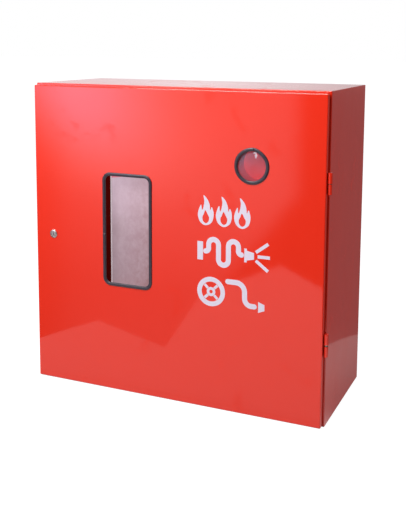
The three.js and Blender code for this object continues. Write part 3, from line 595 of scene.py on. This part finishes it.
# reel: rim, hub, spokes, and the hose leaving it
cx, cz = X0 + H / 2, Z3 + H / 2
spokes = []
for k in range(4):
    a = math.radians(45 + 90 * k)
    u, n = Vector((math.cos(a), math.sin(a))), Vector((-math.sin(a), math.cos(a)))
    c = Vector((cx, cz))
    spokes.append([tuple(c + u * 12.0 + n * 3.4), tuple(c + u * 24.0 + n * 3.4), tuple(c + u * 24.0 - n * 3.4), tuple(c + u * 12.0 - n * 3.4)])
decal("pictogram_reel", [circ(cx, cz, 37.0), circ(cx, cz, 25.0), circ(cx, cz, 11.5), circ(cx, cz, 4.5, 32)])
decal("pictogram_reel_spokes", spokes)
top = Z3 + H - 6.5
tail = [(cx + 44, top), (cx + 66, top)]
for k in range(1, 13):
    a = math.radians(90 - 90 * k / 12)
    tail.append((cx + 66 + 22 * math.cos(a), top - 22 + 22 * math.sin(a)))
tail += [(cx + 88, Z3 + 33), (cx + 88, Z3 + 30)]
for k in range(1, 13):
    a = math.radians(180 + 90 * k / 12)
    tail.append((cx + 88 + 17 + 17 * math.cos(a), Z3 + 30.5 + 17 * math.sin(a)))
tail += [(cx + 113, Z3 + 13.5)]
decal("pictogram_reel_hose", [stroke(tail, 13), [(cx + 123, Z3), (cx + 139, Z3 + 6), (cx + 139, Z3 + 21), (cx + 123, Z3 + 27)]])

# ------------------------------------------------------------------ reel: smooth pressed discs
def pressed_disc(name, node, s):
    lo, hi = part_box(node)
    inner = hi.y if s < 0 else lo.y            # the face that the hose lies against
    t = 1.5 * MM
    seg = 128
    rad = [34.6, 40, 52, 60, 64, 96, 104, 110, 146, 149.5, 154, 158, 172, 176, 180.5, 184, 190, 196, 206, 216, 226, 236, 242, 246, 247.6, 248.5]
    def height(r, a):
        h = 0.0
        if 146 < r < 184:                      # round bead
            h = 3.0 if 153 < r < 177 else 3.0 * (1 - min(abs(r - 153), abs(r - 177)) / 7.0)
        if 40 < r < 62:                        # raised boss round the hub
            h = max(h, 2.0)
        if 186 < r < 242:                      # radial beads
            q = (a * 12 / (2 * math.pi)) % 1.0
            d = abs(q - 0.5) * 2
            edge = min(1.0, (r - 186) / 8.0, (242 - r) / 8.0)
            h = max(h, 2.6 * max(0.0, 1 - (d / 0.30) ** 2) * max(0.0, edge))
        if 64 < r < 146:
            q = (a * 6 / (2 * math.pi)) % 1.0
            d = abs(q - 0.5) * 2
            edge = min(1.0, (r - 66) / 12.0, (144 - r) / 12.0)
            h = max(h, 2.6 * max(0.0, 1 - (d / 0.34) ** 3) * max(0.0, edge))
        return max(0.0, h) * MM
    extra = [70, 76, 84, 90, 118, 126, 134, 140]
    rad = sorted(rad + extra)
    rings = []
    for i in range(seg):
        a = 2 * math.pi * i / seg
        ca, sa = math.cos(a), math.sin(a)
        ring = []
        for r in rad:
            ring.append((r, inner + s * (height(r, a))))
        # rolled rim
        for k in range(0, 9):
            b = math.pi / 2 * k / 8
            ring.append((248.5 - 2.0 + 2.0 * math.sin(b) + 1.5, inner + s * (2.0 * (1 - math.cos(b))) * MM))
        ring.append((250, inner + s * 8.6 * MM))
        ring.append((249.25, inner + s * 9.0 * MM))
        ring.append((248.5, inner + s * 8.6 * MM))
        for k in range(0, 5):
            b = math.pi / 2 * (4 - k) / 4
            ring.append((248.5 - 1.2 + 1.2 * math.sin(b), inner + s * (1.5 + 1.2 * (1 - math.cos(b))) * MM))
        for r in reversed(rad[:-3]):
            ring.append((r, inner + s * (t + height(r, a))))
        rings.append([(REEL.x + r * MM * ca, y, REEL.z + r * MM * sa) for r, y in ring])
    vs, fs = sweep(rings)
    return piece(name, vs, fs, RED, "reel", 50, (node,))


pressed_disc("front_disc_pressing", "reel_front_disc", -1)
pressed_disc("rear_disc_pressing", "reel_rear_disc", 1)

# weld beads on the hinge leaves
def weld_bead(name, x, y, z0, z1, r, body):
    rings = []
    n = max(8, int((z1 - z0) / (1.1 * MM)))
    vs, fs = [], []
    m = 8
    for i in range(n + 1):
        t = i / n
        z = z0 + (z1 - z0) * t
        rr = r * (0.78 + 0.22 * abs(math.sin(i * 1.9))) * (0.35 + 0.65 * min(1, 6 * t, 6 * (1 - t)))
        for k in range(m):
            a = 2 * math.pi * k / m
            vs.append((x + rr * math.cos(a), y + 0.7 * rr * math.sin(a), z))
    for i in range(n):
        for k in range(m):
            l = (k + 1) % m
            fs.append((i * m + k, i * m + l, (i + 1) * m + l, (i + 1) * m + k))
    fs.append(tuple(range(m - 1, -1, -1)))
    fs.append(tuple(n * m + k for k in range(m)))
    return piece(name, vs, fs, RED, body, 60)


for h in ("upper", "lower"):
    lo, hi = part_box(f"{h}_hinge_door_leaf")
    weld_bead(f"{h}_door_leaf_weld", door_hi.x + 0.9 * MM, door_hi.y - 1.0 * MM, lo.z + 2 * MM, hi.z - 2 * MM, 1.1 * MM, "door")

# ------------------------------------------------------------------ camera
cam_data = bpy.data.cameras.new("camera")
cam = bpy.data.objects.new("camera", cam_data)
coll.objects.link(cam)
yaw, pitch, roll, f_px, sh = math.radians(-23.776), math.radians(-7.22), math.radians(0.313), 829.34, -110.0
fwd = Vector((math.sin(yaw) * math.cos(pitch), math.cos(yaw) * math.cos(pitch), math.sin(pitch)))
right = Vector((math.cos(yaw), -math.sin(yaw), 0))
up = right.cross(fwd)
r2 = right * math.cos(roll) + up * math.sin(roll)
u2 = -right * math.sin(roll) + up * math.cos(roll)
M = Matrix((r2, u2, -fwd)).transposed().to_4x4()
M.translation = Vector((0.8892, -1.9994, 0.9064))
cam.matrix_world = M
cam_data.sensor_width = 36.0
cam_data.lens = f_px / 516.0 * 36.0
cam_data.shift_y = sh / 516.0
cam_data.clip_end = 100
scene.camera = cam

# ------------------------------------------------------------------ floor, light, sky
def area(name, loc, target, sx, sy, power, col=(1, 1, 1)):
    l = bpy.data.lights.new(name, "AREA")
    l.shape = "RECTANGLE"
    l.size, l.size_y = sx, sy
    l.energy = power
    l.color = col
    o = bpy.data.objects.new(name, l)
    coll.objects.link(o)
    o.location = loc
    o.rotation_euler = (Vector(target) - Vector(loc)).to_track_quat("-Z", "Y").to_euler()
    return o


def flat(name, pts, z, mat):
    me = bpy.data.meshes.new(name)
    me.from_pydata([(x, y, 0) for x, y in pts], [], [tuple(range(len(pts)))])
    me.materials.append(mat)
    o = bpy.data.objects.new(name, me)
    coll.objects.link(o)
    o.location.z = body_lo.z + z
    return o


fm, nt, bs, out = new_mat("white_paper")
put(nt, bs.inputs["Base Color"], c4(0.22, 0.22, 0.22))
put(nt, bs.inputs["Roughness"], span(nt, noise(nt, coords(nt), 4.0), 0.3, 0.7, 0.7, 0.85))
bs.inputs["Specular IOR Level"].default_value = 0.1
bs.inputs["Emission Color"].default_value = (1, 1, 1, 1)
lpath = nt.nodes.new("ShaderNodeLightPath")
sxyz = nt.nodes.new("ShaderNodeSeparateXYZ")
nt.links.new(coords(nt), sxyz.inputs[0])
# the cabinet's own shade on the sheet beside it, seen in the side panel
shade = calc(nt, "MULTIPLY", span(nt, sxyz.outputs[0], 0.40, 0.49, 0.50, 0.0), span(nt, sxyz.outputs[1], -0.19, 0.0, 0.0, 1.0))
mirrored = calc(nt, "MULTIPLY", span(nt, sxyz.outputs[1], -0.25, -0.06, 0.70, 0.195), calc(nt, "SUBTRACT", 1.0, shade))
seen = calc(nt, "ADD", calc(nt, "MULTIPLY", lpath.outputs["Is Camera Ray"], 0.92), calc(nt, "MULTIPLY", lpath.outputs["Is Glossy Ray"], mirrored))
put(nt, bs.inputs["Emission Strength"], calc(nt, "ADD", seen, 0.05))
S = 40.0
backdrop = flat("floor", [(-S, -S), (S, -S), (S, S), (-S, S)], -0.0012, fm)
backdrop.visible_glossy = False
# the white sheet that the cabinet stands on: its edge is what shows in the door's lower half
sheet = flat("floor_sheet", [(-0.80, 0.20), (-0.568, -0.421), (-0.487, -0.643), (-0.178, -0.516), (-0.293, -1.033), (-0.231, -1.273),
                             (-0.161, -1.546), (0.102, -1.284), (1.10, -0.45), (0.80, 0.15), (0.536, 0.378), (0.528, 0.396), (0.521, 0.418), (0.509, 0.444), (0.494, 0.472), (0.478, 0.497), (0.40, 0.62), (0.3, 0.80), (-0.5, 0.80)], -0.0006, fm)

world = bpy.data.worlds.new("studio")
scene.world = world
world.use_nodes = True
wt = world.node_tree
wt.nodes.clear()
wo = wt.nodes.new("ShaderNodeOutputWorld")
tc = wt.nodes.new("ShaderNodeTexCoord")
sep = wt.nodes.new("ShaderNodeSeparateXYZ")
wt.links.new(tc.outputs["Generated"], sep.inputs[0])
dx, dy, dz = sep.outputs


def smooth(v, a, b, c, d):
    o = span(wt, v, a, b, c, d)
    o.node.interpolation_type = "SMOOTHSTEP"
    return o


def gauss(v, mid, width):
    q = calc(wt, "DIVIDE", calc(wt, "SUBTRACT", v, mid), width)
    return calc(wt, "EXPONENT", calc(wt, "MULTIPLY", calc(wt, "MULTIPLY", q, q), -1.0))


# behind: a bright wall above the table's height, dim below; overhead and in front: a dim room
behind = smooth(dy, -0.15, 0.30, 0.0, 1.0)
above = smooth(dz, -0.06, 0.02, 0.0, 1.0)
zenith = smooth(dz, 0.10, 0.70, 1.0, 0.25)
uneven = calc(wt, "ADD", 1.0, calc(wt, "SUBTRACT", calc(wt, "MULTIPLY", gauss(dx, -0.41, 0.06), 0.13), calc(wt, "MULTIPLY", gauss(dx, -0.20, 0.10), 0.32)))
wall = calc(wt, "MULTIPLY", calc(wt, "MULTIPLY", behind, above), calc(wt, "MULTIPLY", zenith, calc(wt, "MULTIPLY", uneven, 0.68)))
low_back = calc(wt, "MULTIPLY", behind, 0.05)
# in front, to the left: a large soft source seen in the door
front = smooth(dy, -0.25, -0.05, 1.0, 0.0)
ny = calc(wt, "MAXIMUM", calc(wt, "MULTIPLY", dy, -1.0), 0.05)
ta = calc(wt, "DIVIDE", calc(wt, "MULTIPLY", dx, -1.0), ny)
te = calc(wt, "DIVIDE", dz, ny)
mid = calc(wt, "ADD", calc(wt, "MULTIPLY", te, 0.5), 0.684)
side_w = calc(wt, "ADD", calc(wt, "MULTIPLY", calc(wt, "GREATER_THAN", ta, mid), -0.055), 0.140)
blob = calc(wt, "MULTIPLY", calc(wt, "MULTIPLY", gauss(ta, mid, side_w), smooth(te, -0.25, -0.05, 0.0, 1.0)), 3.3)
low = calc(wt, "MULTIPLY", calc(wt, "MAXIMUM", calc(wt, "SUBTRACT", -0.19, te), 0.0), 0.75)
haze = calc(wt, "MULTIPLY", calc(wt, "MULTIPLY", smooth(calc(wt, "SUBTRACT", ta, low), 0.295, 0.325, 0.0, 1.0), calc(wt, "MULTIPLY", smooth(ta, 0.50, 0.70, 1.0, 0.6), smooth(ta, 0.635, 0.70, 1.0, 0.30))), smooth(te, -0.36, -0.18, 0.42, 1.0))
glow = calc(wt, "MULTIPLY", front, calc(wt, "ADD", blob, haze))
total = calc(wt, "ADD", calc(wt, "ADD", calc(wt, "ADD", wall, low_back), glow), 0.07)
bg_lit = wt.nodes.new("ShaderNodeBackground")
cool = wt.nodes.new("ShaderNodeMix")
cool.data_type = "RGBA"
put(wt, cool.inputs[0], calc(wt, "MULTIPLY", front, span(wt, blob, 0.6, 2.8, 0.0, 1.0)))
cool.inputs[6].default_value = (0.97, 0.97, 1.0, 1)
cool.inputs[7].default_value = (0.90, 0.97, 1.36, 1)
wt.links.new(cool.outputs[2], bg_lit.inputs[0])
wt.links.new(total, bg_lit.inputs[1])
bg_cam = wt.nodes.new("ShaderNodeBackground")
bg_cam.inputs[0].default_value = (1, 1, 1, 1)
lp = wt.nodes.new("ShaderNodeLightPath")
mx = wt.nodes.new("ShaderNodeMixShader")
wt.links.new(lp.outputs["Is Camera Ray"], mx.inputs[0])
wt.links.new(bg_lit.outputs[0], mx.inputs[1])
wt.links.new(bg_cam.outputs[0], mx.inputs[2])
wt.links.new(mx.outputs[0], wo.inputs[0])

area("key", (-0.60, -1.7, 2.38), (-0.08, -0.2, 0.42), 1.3, 1.3, 82.5, (1.0, 0.985, 0.96))
side = area("side_fill", (2.6, 0.18, 0.45), (0.4, 0.0, 0.42), 1.2, 1.2, 13.5, (1.0, 0.98, 1.0))
side.visible_glossy = False

scene.view_settings.view_transform = "Standard"
scene.view_settings.look = "None"

# ------------------------------------------------------------------ last update of the view layer
bpy.context.view_layer.update()
